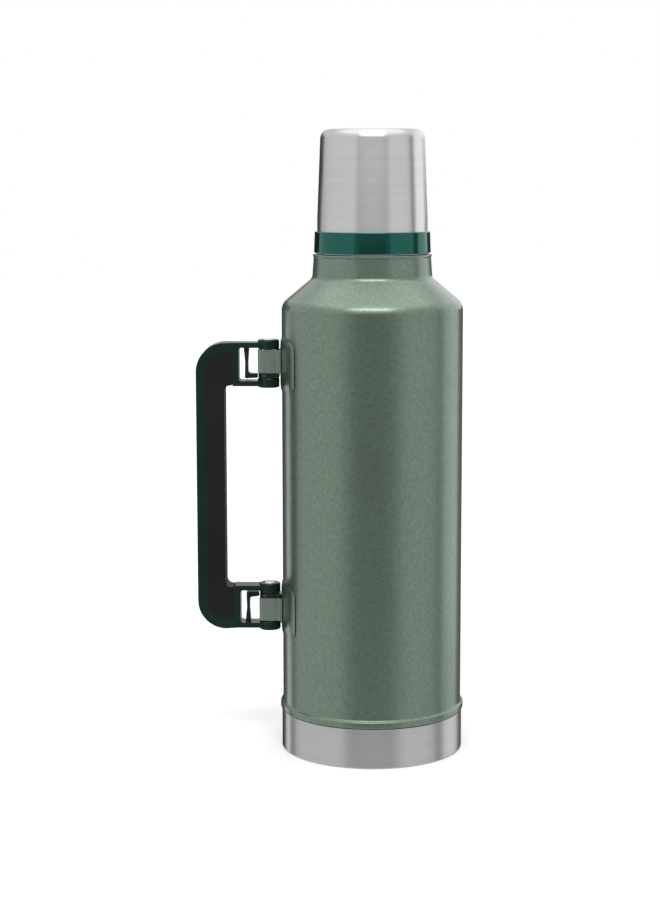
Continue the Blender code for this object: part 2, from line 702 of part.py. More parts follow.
def make_pin(sign, place):
    """A hinge pin with a domed head on top and a peened tail below."""
    head_edge = HANDLE_Z + sign * (EAR_HIGH[1] if sign > 0 else EAR_LOW[0])
    tail_edge = HANDLE_Z + sign * (EAR_LOW[0] if sign > 0 else EAR_HIGH[1])
    seat = head_edge - RECESS + GAP
    foot = tail_edge + RECESS - GAP
    profile = [
        (0, head_edge + 0.55), (HEAD_R * 0.55, head_edge + 0.4), (HEAD_R, seat + 0.6),
        (HEAD_R, seat), (PIN_R, seat), (PIN_R, foot), (TAIL_R, foot), (TAIL_R, foot - 0.5),
        (0, foot - 0.7),
    ]
    bm = turned(profile, closed=False, sides=SMALL_ROUND, axis_at=(PIN_X, 0.0))
    to_object(bm, f"{place}_pin", "bright_steel", (PIN_X, 0, foot))


def make_finger(sign, place):
    """The detent finger: a thin leaf from the outer bar with a foot that rests on the cam."""
    nose_x = PIN_X - CAM_R - 0.5
    foot_low, foot_high = CAM_LOW - 0.1 + 0.5, CAM_HIGH - 0.2
    outline = [
        (FINGER_X - 1.75, FINGER_TOP), (FINGER_X - 0.85, 82.0), (FINGER_X - 1.15, foot_low),
        (-79.0, foot_low), (nose_x, foot_low + 0.3), (nose_x, foot_high),
        (-79.4, foot_high), (FINGER_X + 1.3, foot_high + 0.9),
        (FINGER_X + 1.05, 82.0), (FINGER_X + 1.75, FINGER_TOP),
    ]
    bm = prism([(x, sign * z) for x, z in outline], -3.4, 3.4, flat="XZ")
    for v in bm.verts:
        if v.co.x > -78.0:
            v.co.y *= 0.47
    bmesh.ops.translate(bm, verts=bm.verts, vec=(0, 0, HANDLE_Z))
    pivot = (FINGER_X, 0, HANDLE_Z + sign * (FINGER_TOP - 0.8))
    to_object(bm, f"{place}_detent_finger", "handle_green", pivot)


def make_bottle():
    make_outer_shell()
    make_inner_vessel()
    make_vacuum_base()
    make_evacuation_plug()
    make_getter()
    make_base_cap()


def make_cup():
    make_cup_shell()
    make_cup_liner()
    make_cup_collar()
    make_cup_seal()


def make_stopper():
    make_stopper_plug()
    make_stopper_knob()
    make_stopper_core()
    make_stopper_cover()
    make_stopper_gasket()


def make_handle():
    make_handle_frame()
    make_grip_insert()
    for sign, place in ((1, "upper"), (-1, "lower")):
        make_saddle(sign, place)
        make_strap(sign, place)
        make_hinge_block(sign, place)
        make_pin(sign, place)
        make_finger(sign, place)


clear_scene()
make_bottle()
make_cup()
make_stopper()
make_handle()
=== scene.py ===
import json
from math import asin, cos, degrees, pi, radians, sin, tan

import bmesh
import bpy
from mathutils import Matrix, Vector


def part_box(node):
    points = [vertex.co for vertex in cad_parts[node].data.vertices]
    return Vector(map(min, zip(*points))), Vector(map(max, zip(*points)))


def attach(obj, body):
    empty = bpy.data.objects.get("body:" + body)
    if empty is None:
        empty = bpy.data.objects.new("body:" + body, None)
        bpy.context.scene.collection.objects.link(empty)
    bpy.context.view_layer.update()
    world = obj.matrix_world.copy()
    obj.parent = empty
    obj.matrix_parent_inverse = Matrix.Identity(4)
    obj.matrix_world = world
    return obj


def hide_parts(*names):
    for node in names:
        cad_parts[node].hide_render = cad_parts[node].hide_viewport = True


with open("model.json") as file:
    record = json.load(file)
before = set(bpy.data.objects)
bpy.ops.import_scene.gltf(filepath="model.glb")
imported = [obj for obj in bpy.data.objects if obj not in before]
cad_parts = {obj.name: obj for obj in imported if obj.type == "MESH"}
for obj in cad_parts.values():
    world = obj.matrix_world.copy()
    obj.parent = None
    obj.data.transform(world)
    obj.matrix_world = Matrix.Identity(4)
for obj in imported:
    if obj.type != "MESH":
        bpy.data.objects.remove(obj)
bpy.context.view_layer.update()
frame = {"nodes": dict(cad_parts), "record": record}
scene = bpy.context.scene
mm = 0.001  # every size below is in millimetres, and a finished mesh is in metres
fine = {"roundSteps": 192, "smallSteps": 48, "cornerStep": 9, "sharpAngle": 32}
looks = {}  # material for each slot of the record
slotOf = {part["node"]: part["material_slot"] for part in frame["record"]["subparts"]}
bodyOf = {
    node: body for body, nodes in frame["record"]["behaviour"]["bodies"].items() for node in nodes
}


def sizeOf(node):
    low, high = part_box(node)
    return low / mm, high / mm


# Shapes

def roundedLine(corners, closed=True, plane="XZ"):
    # edges through corners of (across, up, radius); a corner with a radius is bevelled
    bm = bmesh.new()
    points = []
    for across, up, *_ in corners:
        points.append(bm.verts.new((across, 0, up) if plane == "XZ" else (across, up, 0)))
    ends = points[1:] + points[:1] if closed else points[1:]
    for pair in zip(points, ends):
        bm.edges.new(pair)
    for point, corner in zip(points, corners):
        if len(corner) < 3:
            continue
        ways = [(e.other_vert(point).co - point.co).normalized() for e in point.link_edges]
        bend = pi - ways[0].angle(ways[1])
        bmesh.ops.bevel(
            bm, geom=[point], offset=corner[2] * tan(bend / 2), offset_type="OFFSET",
            segments=max(2, round(degrees(bend) / fine["cornerStep"])), profile=0.5,
            affect="VERTICES", material=-1,
        )
    return bm


def turned(corners, closed=True, steps=None, at=(0, 0)):
    bm = roundedLine(corners, closed)
    bmesh.ops.spin(
        bm, geom=bm.verts[:] + bm.edges[:], cent=(0, 0, 0), axis=(0, 0, 1), angle=2 * pi,
        steps=steps or fine["roundSteps"], use_merge=True,
    )
    bmesh.ops.remove_doubles(bm, verts=bm.verts, dist=0.0005)
    bmesh.ops.translate(bm, verts=bm.verts, vec=(*at, 0))
    return bm


def ridge(thread):
    # the section is spun up a helix, and its ends run into the wall
    bm = bmesh.new()
    foot, crest = thread["footRadius"], thread["crestRadius"]
    section = [
        bm.verts.new((radius, 0, thread["start"] + side * width / 2))
        for radius, side, width in (
            (foot, -1, thread["footWidth"]), (crest, -1, thread["crestWidth"]),
            (crest, 1, thread["crestWidth"]), (foot, 1, thread["footWidth"]),
        )
    ]
    face = bm.faces.new(section)
    perTurn = fine["roundSteps"] // 2
    steps = round(thread["turns"] * perTurn)
    bmesh.ops.spin(
        bm, geom=[face, *face.edges, *face.verts], cent=(0, 0, 0), axis=(0, 0, 1),
        dvec=(0, 0, thread["pitch"] / perTurn), angle=2 * pi * thread["turns"], steps=steps,
    )
    bm.verts.index_update()
    for v in bm.verts:
        number = v.index // 4
        grown = min(1, (min(number, steps - number) + 0.5) / (perTurn / 8))
        across = Vector((v.co.x, v.co.y, 0))
        if abs(across.length - crest) < 0.01:
            v.co += across.normalized() * (foot - crest) * (1 - grown)
    return bm


def outlined(corners, low, high, plane="XZ"):
    # a closed outline, filled and pulled from low to high
    bm = roundedLine(corners, True, plane)
    along = Vector((0, 1, 0)) if plane == "XZ" else Vector((0, 0, 1))
    bmesh.ops.contextual_create(bm, geom=bm.edges[:])
    bmesh.ops.translate(bm, verts=bm.verts, vec=along * low)
    made = bmesh.ops.extrude_face_region(bm, geom=bm.faces[:])["geom"]
    moved = [item for item in made if isinstance(item, bmesh.types.BMVert)]
    bmesh.ops.translate(bm, verts=moved, vec=along * (high - low))
    return bm


def block(low, high):
    bm = bmesh.new()
    bmesh.ops.create_cube(bm, size=1)
    low, high = Vector(low), Vector(high)
    bmesh.ops.scale(bm, verts=bm.verts, vec=high - low)
    bmesh.ops.translate(bm, verts=bm.verts, vec=(low + high) / 2)
    return bm


def softened(bm, width, segments=3, angle=50, chosen=None):
    edges = [
        e for e in bm.edges
        if len(e.link_faces) == 2 and e.calc_face_angle() > radians(angle)
        and (chosen is None or chosen(e))
    ]
    bmesh.ops.bevel(
        bm, geom=edges, offset=width, offset_type="OFFSET", segments=segments, profile=0.5,
        affect="EDGES", clamp_overlap=True, material=-1,
    )
    return bm


def facedOut(bm):
    bmesh.ops.recalc_face_normals(bm, faces=bm.faces)
    if bm.calc_volume(signed=True) < 0:
        bmesh.ops.reverse_faces(bm, faces=bm.faces)
    return bm


def combined(bm, other, operation):
    pair = []
    for shape in (bm, other):
        mesh = bpy.data.meshes.new("working")
        facedOut(shape).to_mesh(mesh)
        shape.free()
        pair.append(bpy.data.objects.new("working", mesh))
        scene.collection.objects.link(pair[-1])
    modifier = pair[0].modifiers.new("Combine", "BOOLEAN")
    modifier.operation = operation
    modifier.solver = "EXACT"
    modifier.object = pair[1]
    result = bmesh.new()
    result.from_object(pair[0], bpy.context.evaluated_depsgraph_get())
    for helper in pair:
        mesh = helper.data
        bpy.data.objects.remove(helper)
        bpy.data.meshes.remove(mesh)
    return result


def piece(bm, name, node, look=None):
    # the finished mesh takes its place in metres and stands for one CAD node
    facedOut(bm)
    bmesh.ops.scale(bm, verts=bm.verts, vec=(mm, mm, mm))
    mesh = bpy.data.meshes.new(name)
    bm.to_mesh(mesh)
    bm.free()
    mesh.shade_smooth()
    mesh.set_sharp_from_angle(angle=radians(fine["sharpAngle"]))
    made = bpy.data.objects.new(name, mesh)
    scene.collection.objects.link(made)
    made.modifiers.new("Flat faces stay flat", "WEIGHTED_NORMAL").keep_sharp = True
    made.data.materials.append(looks[look or slotOf[node]])
    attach(made, bodyOf[node])
    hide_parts(node)
    return made


# Node helpers

def addNode(tree, kind, inputs=None, **settings):
    made = tree.nodes.new(kind)
    for key, value in settings.items():
        setattr(made, key, value)
    for key, value in (inputs or {}).items():
        if isinstance(value, bpy.types.NodeSocket):
            tree.links.new(value, made.inputs[key])
        else:
            made.inputs[key].default_value = value
    return made


def newGroup(name, inputs, outputs):
    tree = bpy.data.node_groups.new(name, "ShaderNodeTree")
    for label, value in inputs.items():
        socket = tree.interface.new_socket(label, in_out="INPUT", socket_type="NodeSocketFloat")
        socket.default_value = value
    for label in outputs:
        tree.interface.new_socket(label, in_out="OUTPUT", socket_type="NodeSocketFloat")
    given = addNode(tree, "NodeGroupInput").outputs
    taken = addNode(tree, "NodeGroupOutput").inputs
    place = addNode(tree, "ShaderNodeTexCoord").outputs["Object"]
    return tree, given, taken, place


def noise(tree, place, scale, detail=2, roughness=0.5, dimensions="3D", **more):
    inputs = {"Scale": scale, "Detail": detail, "Roughness": roughness, "Vector": place, **more}
    return addNode(tree, "ShaderNodeTexNoise", inputs, noise_dimensions=dimensions).outputs["Fac"]


def math(tree, operation, first, second=0.0):
    return addNode(tree, "ShaderNodeMath", {0: first, 1: second}, operation=operation).outputs[0]


def ranged(tree, value, low, high, toLow=0.0, toHigh=1.0):
    inputs = {"Value": value, "From Min": low, "From Max": high, "To Min": toLow, "To Max": toHigh}
    return addNode(tree, "ShaderNodeMapRange", inputs).outputs["Result"]


def mixed(tree, factor, first, second):
    inputs = {"Factor": factor, 6: (*first, 1), 7: (*second, 1)}
    return addNode(tree, "ShaderNodeMix", inputs, data_type="RGBA").outputs[2]


def link(tree, value, socket):
    tree.links.new(value, socket)


# Effects shared by the materials

def makeTurnedGrain():
    # lines round the bottle's axis, with no seam
    tree, given, taken, place = newGroup("turnedGrain", {"Lines": 2600.0}, ("Value", "Streaks"))
    flat = addNode(tree, "ShaderNodeVectorMath", {0: place, 1: (1, 1, 0)}, operation="MULTIPLY")
    across = flat.outputs["Vector"]
    radius = addNode(tree, "ShaderNodeVectorMath", {0: across}, operation="LENGTH").outputs["Value"]
    way = addNode(tree, "ShaderNodeVectorMath", {0: across}, operation="NORMALIZE")
    parts = addNode(tree, "ShaderNodeSeparateXYZ", {0: place})
    turns = addNode(tree, "ShaderNodeSeparateXYZ", {0: way.outputs["Vector"]})
    height = math(tree, "MULTIPLY", parts.outputs["Z"], given["Lines"])
    rings = addNode(
        tree, "ShaderNodeCombineXYZ", {"X": turns.outputs["X"], "Y": turns.outputs["Y"], "Z": height}
    ).outputs["Vector"]
    ring = math(tree, "MULTIPLY", radius, given["Lines"])
    value = noise(tree, rings, 1.0, 4, 0.65, "4D", W=ring)
    link(tree, value, taken["Value"])
    broad = noise(tree, rings, 0.16, 3, 0.6, "4D", W=math(tree, "MULTIPLY", ring, 0.16))
    link(tree, broad, taken["Streaks"])
    return tree


def makeMouldGrain():
    tree, given, taken, place = newGroup("mouldGrain", {"Scale": 1800.0}, ("Value",))
    value = noise(tree, place, given["Scale"], 3, 0.6)
    link(tree, value, taken["Value"])
    return tree


def makeHandlingMarks():
    # faint smears and thin scratches left by use
    inputs = {"Scale": 18.0, "Scratches": 0.5}
    tree, given, taken, place = newGroup("handlingMarks", inputs, ("Smears", "Scratches"))
    smears = noise(tree, place, given["Scale"], 5, 0.62, Distortion=0.8)
    link(tree, ranged(tree, smears, 0.35, 0.68), taken["Smears"])
    stretched = addNode(
        tree, "ShaderNodeMapping", {"Vector": place, "Rotation": (0.5, 0.9, 0.3), "Scale": (30, 900, 900)}
    ).outputs["Vector"]
    lines = ranged(tree, noise(tree, stretched, 1.0, 2, 0.5), 0.68, 0.74)
    link(tree, math(tree, "MULTIPLY", lines, given["Scratches"]), taken["Scratches"])
    return tree


def makePebble():
    # the small beads and pits of a hammertone enamel
    tree, given, taken, place = newGroup("pebble", {"Scale": 900.0}, ("Height", "Flake", "Mottle"))
    bent = addNode(tree, "ShaderNodeVectorMath", {0: place}, operation="ADD")
    wobble = addNode(tree, "ShaderNodeTexNoise", {"Vector": place, "Scale": 500.0, "Detail": 2.0})
    shift = addNode(
        tree, "ShaderNodeVectorMath", {0: wobble.outputs["Color"], 3: 0.0009}, operation="SCALE"
    )
    link(tree, shift.outputs["Vector"], bent.inputs[1])
    cells = addNode(
        tree, "ShaderNodeTexVoronoi",
        {"Vector": bent.outputs["Vector"], "Scale": given["Scale"], "Smoothness": 0.7},
        feature="SMOOTH_F1",
    )
    swell = noise(tree, place, math(tree, "MULTIPLY", given["Scale"], 0.6), 2, 0.5)
    height = math(tree, "ADD", cells.outputs["Distance"], swell)
    link(tree, height, taken["Height"])
    link(tree, ranged(tree, height, 0.62, 1.05), taken["Flake"])
    patches = noise(tree, place, math(tree, "MULTIPLY", given["Scale"], 0.4), 3, 0.6)
    link(tree, ranged(tree, patches, 0.36, 0.64), taken["Mottle"])
    return tree


def makeEdgeWear():
    # 1 along sharp edges, broken up by noise
    tree, given, taken, place = newGroup("edgeWear", {"Width": 0.0008, "Amount": 1.0}, ("Value",))
    soft = addNode(tree, "ShaderNodeBevel", {"Radius": given["Width"]}, samples=4)
    hard = addNode(tree, "ShaderNodeNewGeometry")
    inputs = {0: soft.outputs["Normal"], 1: hard.outputs["Normal"]}
    same = addNode(tree, "ShaderNodeVectorMath", inputs, operation="DOT_PRODUCT").outputs["Value"]
    edge = ranged(tree, same, 0.995, 0.9)
    broken = ranged(tree, noise(tree, place, 260.0, 4, 0.7), 0.42, 0.6)
    worn = math(tree, "MULTIPLY", math(tree, "MULTIPLY", edge, broken), given["Amount"])
    link(tree, worn, taken["Value"])
    return tree


turnedGrain = makeTurnedGrain()
mouldGrain = makeMouldGrain()
handlingMarks = makeHandlingMarks()
pebble = makePebble()
edgeWear = makeEdgeWear()


def newMaterial(name, settings):
    material = bpy.data.materials.new(name)
    material.use_nodes = True
    tree = material.node_tree
    shader = tree.nodes["Principled BSDF"]
    for socket, value in settings.items():
        shader.inputs[socket].default_value = value
    looks[name] = material
    return tree, shader


def effect(tree, group, **inputs):
    return addNode(tree, "ShaderNodeGroup", inputs, node_tree=group).outputs


def bump(tree, shader, height, distance, strength=1.0):
    inputs = {"Height": height, "Distance": distance, "Strength": strength}
    made = addNode(tree, "ShaderNodeBump", inputs)
    link(tree, made.outputs["Normal"], shader.inputs["Normal"])


def makeEnamel(name, enamel):
    tree, shader = newMaterial(name, {
        "Metallic": enamel["metallic"], "Coat Weight": enamel["coat"],
        "Coat Roughness": enamel["coatRoughness"], "Coat IOR": 1.5,
    })
    pebbled = effect(tree, pebble, Scale=enamel["pebbleSize"])
    marks = effect(tree, handlingMarks, Scale=14.0, Scratches=enamel["scratches"])
    edge = effect(tree, edgeWear, Width=0.0006, Amount=enamel["wear"])["Value"]
    tone = math(tree, "ADD", pebbled["Flake"], math(tree, "MULTIPLY", pebbled["Mottle"], 2.0))
    colour = mixed(tree, ranged(tree, tone, 0.0, 3.0), enamel["pit"], enamel["bead"])
    worn = addNode(
        tree, "ShaderNodeMix", {"Factor": edge, 6: colour, 7: (*enamel["worn"], 1)}, data_type="RGBA"
    ).outputs[2]
    link(tree, worn, shader.inputs["Base Color"])
    rough = ranged(tree, marks["Smears"], 0.0, 1.0, *enamel["roughness"])
    link(tree, math(tree, "ADD", rough, marks["Scratches"]), shader.inputs["Roughness"])
    bump(tree, shader, pebbled["Height"], enamel["relief"])


def makeSteel(name, steel):
    tree, shader = newMaterial(name, {
        "Metallic": 1.0, "Anisotropic": steel["brushing"], "Anisotropic Rotation": 0.25,
    })
    grain = effect(tree, turnedGrain, Lines=steel["lines"])
    marks = effect(tree, handlingMarks, Scale=22.0, Scratches=steel["scratches"])
    colour = mixed(tree, grain["Streaks"], steel["dark"], steel["light"])
    link(tree, colour, shader.inputs["Base Color"])
    low, high = steel["roughness"]
    rough = ranged(tree, grain["Value"], 0.3, 0.7, low, high)
    smeared = math(tree, "MULTIPLY", marks["Smears"], 0.04)
    rough = math(tree, "ADD", rough, math(tree, "ADD", smeared, marks["Scratches"]))
    link(tree, rough, shader.inputs["Roughness"])
    bump(tree, shader, grain["Value"], steel["relief"])


def makePlastic(name, plastic):
    tree, shader = newMaterial(name, {
        "Metallic": plastic.get("metallic", 0.0), "IOR": plastic.get("ior", 1.5),
        "Coat Weight": plastic.get("coat", 0.0), "Coat Roughness": plastic.get("coatRoughness", 0.05),
    })
    grain = effect(tree, mouldGrain, Scale=plastic["grain"])["Value"]
    marks = effect(tree, handlingMarks, Scale=30.0, Scratches=plastic["scratches"])
    edge = effect(tree, edgeWear, Width=0.0005, Amount=plastic["wear"])["Value"]
    blotch = noise(tree, addNode(tree, "ShaderNodeTexCoord").outputs["Object"], 45.0, 3)
    colour = mixed(tree, ranged(tree, blotch, 0.3, 0.7), plastic["dark"], plastic["light"])
    worn = addNode(
        tree, "ShaderNodeMix", {"Factor": edge, 6: colour, 7: (*plastic["worn"], 1)},
        data_type="RGBA",
    ).outputs[2]
    link(tree, worn, shader.inputs["Base Color"])
    low, high = plastic["roughness"]
    rough = ranged(tree, marks["Smears"], 0.0, 1.0, low, high)
    link(tree, math(tree, "ADD", rough, marks["Scratches"]), shader.inputs["Roughness"])
    bump(tree, shader, grain, plastic["relief"])


enamels = {
    "hammertone_enamel": {
        "pit": (0.136, 0.194, 0.148), "bead": (0.192, 0.262, 0.204), "worn": (0.26, 0.3, 0.26),
        "metallic": 0.88, "roughness": (0.34, 0.38), "coat": 0.6, "coatRoughness": 0.16,
        "pebbleSize": 1100.0, "relief": 0.00001, "scratches": 0.1, "wear": 0.5,
    },
    # painted light: the straps wear the same hammertone paint as the body; this copy has less metal and
    # its own colours so that the flat straps show lighter
    "strap_enamel_painted_light": {
        "pit": (0.138, 0.182, 0.148), "bead": (0.182, 0.236, 0.192), "worn": (0.26, 0.3, 0.26),
        "metallic": 0.4, "roughness": (0.34, 0.4), "coat": 0.5, "coatRoughness": 0.12,
        "pebbleSize": 1300.0, "relief": 0.000006, "scratches": 0.1, "wear": 0.4,
    },
}
steels = {
    "brushed_steel": {
        "dark": (0.58, 0.58, 0.585), "light": (0.7, 0.7, 0.705), "roughness": (0.28, 0.34),
        "brushing": 0.85, "lines": 2600.0, "relief": 0.000004, "scratches": 0.1,
    },
    # painted shade: the same brushed stainless steel as the cup, given a darker colour so that the base
    # cap shows darker; it is also rougher and more scratched
    "base_steel_painted_shade": {
        "dark": (0.48, 0.48, 0.485), "light": (0.59, 0.59, 0.595), "roughness": (0.3, 0.38),
        "brushing": 0.85, "lines": 2200.0, "relief": 0.000005, "scratches": 0.2,
    },
    "inner_steel": {
        "dark": (0.58, 0.58, 0.58), "light": (0.66, 0.66, 0.66), "roughness": (0.2, 0.3),
        "brushing": 0.5, "lines": 1400.0, "relief": 0.000003, "scratches": 0.05,
    },
    "bright_steel": {
        "dark": (0.62, 0.62, 0.63), "light": (0.74, 0.74, 0.75), "roughness": (0.12, 0.2),
        "brushing": 0.3, "lines": 3000.0, "relief": 0.000002, "scratches": 0.1,
    },
    "getter_alloy": {
        "dark": (0.16, 0.16, 0.17), "light": (0.28, 0.28, 0.3), "roughness": (0.5, 0.68),
        "brushing": 0.0, "lines": 4000.0, "relief": 0.00002, "scratches": 0.0,
    },
}
plastics = {
    "collar_green": {
        "dark": (0.01, 0.104, 0.084), "light": (0.013, 0.122, 0.098), "worn": (0.04, 0.18, 0.15),
        "metallic": 0.92, "coat": 0.25, "coatRoughness": 0.03, "roughness": (0.06, 0.1),
        "grain": 900.0, "relief": 0.000004, "scratches": 0.1, "wear": 0.3,
    },
    "handle_green": {
        "dark": (0.0022, 0.0135, 0.009), "light": (0.0038, 0.02, 0.014), "worn": (0.015, 0.05, 0.04),
        "ior": 1.36, "roughness": (0.24, 0.34), "grain": 1500.0, "relief": 0.00002,
        "scratches": 0.15, "wear": 0.5,
    },
    "grip_black": {
        "dark": (0.006, 0.006, 0.007), "light": (0.009, 0.009, 0.0105), "worn": (0.025, 0.025, 0.027),
        "ior": 1.3, "roughness": (0.46, 0.58), "grain": 1300.0, "relief": 0.00008,
        "scratches": 0.1, "wear": 0.5,
    },
    "black_plastic": {
        "dark": (0.009, 0.01, 0.01), "light": (0.014, 0.016, 0.016), "worn": (0.04, 0.045, 0.043),
        "roughness": (0.16, 0.26), "grain": 1600.0, "relief": 0.00001, "scratches": 0.15, "wear": 0.4,
    },
    "stopper_green": {
        "dark": (0.011, 0.05, 0.04), "light": (0.015, 0.066, 0.053), "worn": (0.05, 0.12, 0.1),
        "roughness": (0.3, 0.42), "grain": 1300.0, "relief": 0.00003, "scratches": 0.1, "wear": 0.5,
    },
    "foam": {
        "dark": (0.66, 0.63, 0.55), "light": (0.8, 0.78, 0.7), "worn": (0.6, 0.56, 0.47),
        "roughness": (0.85, 0.95), "grain": 700.0, "relief": 0.0004, "scratches": 0.0, "wear": 0.2,
    },
    "silicone": {
        "dark": (0.6, 0.62, 0.6), "light": (0.72, 0.74, 0.72), "worn": (0.78, 0.79, 0.77),
        "ior": 1.41, "roughness": (0.4, 0.52), "grain": 900.0, "relief": 0.00002,
        "scratches": 0.0, "wear": 0.3,
    },
}
for slot, enamel in enamels.items():
    makeEnamel(slot, enamel)
for slot, steel in steels.items():
    makeSteel(slot, steel)
for slot, plastic in plastics.items():
    makePlastic(slot, plastic)
print("materials made:", len(looks))


# Bottle

def makeShell():
    low, high = sizeOf("outer_shell")
    shell = {
        "wall": 1.0, "side": 59.45, "bead": high.x, "beadLow": 26.6, "beadHigh": 31.8,
        "underCap": 59.1, "shoulderTop": 296.8, "lean": radians(49.9), "neck": 39.3,
        "neckTop": 38.35, "lip": 38.85, "ledge": 329.0, "mouth": 32.2, "mouthTop": high.z - 1.3,
    }
    wall, side, neck = shell["wall"], shell["side"], shell["neck"]
    ledge, mouthTop, mouth = shell["ledge"], shell["mouthTop"], shell["mouth"]
    fall = (side - neck) / tan(shell["lean"])
    outside = [
        (shell["underCap"], low.z), (shell["underCap"], shell["beadLow"]),
        (shell["bead"], shell["beadLow"], 1.2), (shell["bead"], shell["beadHigh"] - 0.9, 1.3),
        (side, shell["beadHigh"], 1.0), (side, shell["shoulderTop"], 8.0),
        (neck, shell["shoulderTop"] + fall, 4.0), (shell["neckTop"], ledge - 2.0, 0.8),
        (shell["lip"], ledge - 1.2, 0.5), (shell["lip"], ledge, 0.5), (mouth, ledge, 0.35),
        (mouth, mouthTop),
    ]
    inside = [
        (mouth - wall, mouthTop), (mouth - wall, ledge - wall, 0.8),
        (shell["neckTop"] - wall, ledge - wall - 0.9, 0.8),
        (neck - wall, shell["shoulderTop"] + fall, 4.5),
        (side - wall, shell["shoulderTop"] - 0.4, 7.5), (side - wall, low.z),
    ]
    thread = {
        "footRadius": mouth - 0.45, "crestRadius": mouth + 1.0, "start": 332.5, "pitch": 5.0,
        "turns": 1.75, "footWidth": 2.6, "crestWidth": 1.0,
    }
    bm = combined(turned(outside + inside), ridge(thread), "UNION")
    piece(bm, "flaskShell", "outer_shell")


def makeBaseCap():
    high = sizeOf("base_cap")[1]
    cap = {"wall": 0.8, "floor": 2.2, "edge": 1.0, "foot": 50.0, "disc": 38.6, "recess": 1.2}
    outer, inner = high.x, high.x - cap["wall"]
    foot, disc, recess = cap["foot"], cap["disc"], cap["recess"]
    corners = [
        (0, 0), (disc, 0, 0.8), (disc + 1.0, recess, 0.8), (foot - 0.8, recess, 0.8),
        (foot + 0.4, 0, 0.8), (outer, 0, cap["edge"]), (outer, high.z, 0.25), (inner, high.z, 0.25),
        (inner, cap["floor"], 1.2), (0, cap["floor"]),
    ]
    # the base cap takes the darker copy of the steel, which is painted shade
    piece(turned(corners, False), "baseCap", "base_cap", "base_steel_painted_shade")


def makeInnerVessel():
    low, high = sizeOf("inner_vessel")
    vessel = {
        "side": 52.0, "wall": 0.9, "shoulder": 288.0, "land": 27.9, "landLow": 317.0,
        "landHigh": 326.0, "bore": 29.7, "flange": 32.2,
    }
    wall, side, land, bore = vessel["wall"], vessel["side"], vessel["land"], vessel["bore"]
    floor, shoulder, rim = low.z + wall, vessel["shoulder"], vessel["flange"]
    landLow, landHigh = vessel["landLow"], vessel["landHigh"]
    corners = [
        (0, floor), (side, floor, 13), (side, shoulder + 2, 9), (land, landLow - 2, 4),
        (land, landHigh, 1.0), (bore, landHigh + 2, 1.0), (bore, high.z, 0.5),
        (rim, high.z, 0.3), (rim, high.z - 1.0), (bore + wall, high.z - 1.0, 0.3),
        (bore + wall, landHigh + 1.6, 1.0), (land + wall, landHigh - 0.4, 1.0),
        (land + wall, landLow - 1.6, 4), (side + wall, shoulder + 2.4, 9.9),
        (side + wall, low.z, 13.9), (0, low.z),
    ]
    thread = {
        "footRadius": bore + 0.45, "crestRadius": bore - 1.2, "start": 332.5, "pitch": 5.0,
        "turns": 2.25, "footWidth": 2.2, "crestWidth": 1.0,
    }
    bm = combined(turned(corners, False), ridge(thread), "UNION")
    piece(bm, "innerVessel", "inner_vessel")


makeShell()
makeBaseCap()
makeInnerVessel()
print("bottle made")


# Cup

cup = {
    "taperStart": 352.0, "topRadius": 34.0, "edge": 6.0, "wall": 0.7, "linerStep": 2.2, "rim": 0.8,
    "gap": 0.3,
}


def cupCorners(offset, foot):
    high = sizeOf("cup_shell")[1]
    side, top = high.x - offset, high.z - offset
    edge = cup["edge"] - offset
    taperTop = cup["topRadius"] - offset - 0.25
    return [(side, foot), (side, cup["taperStart"]), (taperTop, top, edge), (0, top)]


def makeCupShell():
    low = sizeOf("cup_shell")[0]
    corners = list(reversed(cupCorners(0, low.z))) + cupCorners(cup["wall"], low.z)
    piece(turned(corners, False), "cupShell", "cup_shell")


def makeCupLiner():
    low, high = sizeOf("cup_liner")
    rim = low.z + cup["rim"]
    outer = cupCorners(cup["linerStep"], rim)
    inner = cupCorners(cup["linerStep"] + cup["wall"], low.z)
    corners = list(reversed(outer)) + [(high.x, rim), (high.x, low.z)] + inner
    piece(turned(corners, False), "cupLiner", "cup_liner")


def makeCollar():
    low, high = sizeOf("cup_collar")
    shellSide = sizeOf("cup_shell")[1].x
    collar = {
        "bore": 34.2, "top": 37.7, "edge": 0.45, "grooveIn": 35.0, "grooveOut": 37.0,
        "grooveDeep": 1.5, "slotLow": 336.5,
    }
    bore, edge, gap = collar["bore"], collar["edge"], cup["gap"]
    slotIn, slotOut, slotLow = shellSide - cup["wall"] - gap, shellSide + gap, collar["slotLow"]
    deep = low.z + collar["grooveDeep"]
    corners = [
        (bore, low.z, 0.3), (collar["grooveIn"], low.z), (collar["grooveIn"], deep),
        (collar["grooveOut"], deep), (collar["grooveOut"], low.z), (high.x, low.z, edge),
        (collar["top"], high.z, edge), (slotOut, high.z, 0.15), (slotOut, slotLow),
        (slotIn, slotLow), (slotIn, high.z), (bore, high.z, 0.2),
    ]
    thread = {
        "footRadius": bore + 0.45, "crestRadius": bore - 0.7, "start": 334.5, "pitch": 5.0,
        "turns": 1.25, "footWidth": 2.2, "crestWidth": 1.0,
    }
    bm = combined(turned(corners), ridge(thread), "UNION")
    piece(bm, "cupCollar", "cup_collar")


def makeSealRing(name, node, inner, edge):
    low, high = sizeOf(node)
    corners = [
        (inner, low.z, 0.2), (high.x, low.z, edge), (high.x, high.z, edge), (inner, high.z, 0.2)
    ]
    piece(turned(corners), name, node)


makeCupShell()
makeCupLiner()
makeCollar()
makeSealRing("cupSeal", "cup_seal", 35.3, 0.5)
print("cup made")


# Stopper

stopper = {
    "bore": 23.3, "plug": 27.4, "plugLow": 26.9, "groove": 25.4, "flange": 30.8,
    "flangeLow": 351.0, "flutes": 8, "fluteDepth": 1.5, "fluteReach": 7, "fluteFade": 4,
    "dish": 2.0, "spigot": 23.0,
}


